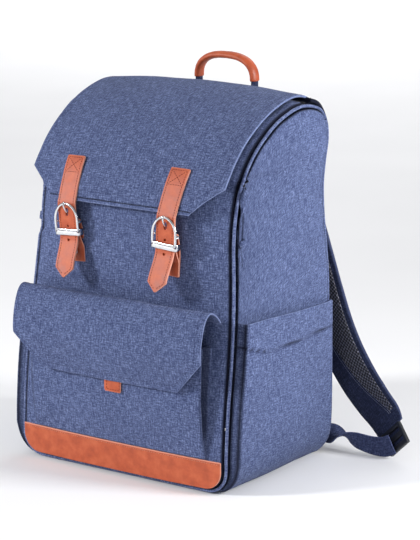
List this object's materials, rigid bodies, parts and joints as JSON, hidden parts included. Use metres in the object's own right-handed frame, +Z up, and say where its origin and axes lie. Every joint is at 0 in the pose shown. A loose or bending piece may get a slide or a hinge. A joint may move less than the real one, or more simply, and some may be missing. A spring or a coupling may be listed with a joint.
{
  "type": "cooler backpack",
  "caption": "Upright cooler backpack with a lid flap over a rounded top, a flapped front pocket, open side pockets, leather closing straps and padded shoulder straps.",
  "frame": {"origin": "the middle of the base's flat underside", "axes": "X runs across the front, +X to the wearer's right, the front faces -Y, the shoulder straps are on +Y and +Z is up"},
  "size_m": [0.5152, 0.2987, 0.4813],
  "materials": {
    "heather_fabric": "heathered blue woven polyester",
    "tan_leather": "smooth tan leather with pale cut edges",
    "silver_metal": "polished nickel plate",
    "navy_fabric": "plain dark navy woven fabric",
    "black_mesh": "black spacer mesh",
    "black_plastic": "moulded black plastic",
    "black_zip": "black coil zip on its tape"
  },
  "bodies": {
    "root": {"front_panel": "heather_fabric", "back_panel": "heather_fabric", "main_zip": "black_zip", "base_panel": "heather_fabric", "side_panel_right": "heather_fabric", "side_panel_left": "heather_fabric", "piping": "heather_fabric", "lid_flap": "heather_fabric", "base_trim": "tan_leather", "front_pocket": "heather_fabric", "pocket_flap": "heather_fabric", "pull_tab": "tan_leather", "strap_right": "tan_leather", "strap_left": "tan_leather", "buckle_right": "silver_metal", "buckle_left": "silver_metal", "buckle_prong_right": "silver_metal", "buckle_prong_left": "silver_metal", "buckle_tab_right": "tan_leather", "buckle_tab_left": "tan_leather", "snap_right": "silver_metal", "snap_left": "silver_metal", "side_pocket_right": "heather_fabric", "side_pocket_left": "heather_fabric", "carry_handle": "tan_leather", "handle_stub_right": "navy_fabric", "handle_stub_left": "navy_fabric", "shoulder_pad_right": "navy_fabric", "shoulder_pad_left": "navy_fabric", "pad_mesh_right": "black_mesh", "pad_mesh_left": "black_mesh", "ladder_lock_right": "black_plastic", "ladder_lock_left": "black_plastic", "strap_webbing_right": "navy_fabric", "strap_webbing_left": "navy_fabric"}
  },
  "joints": []
}
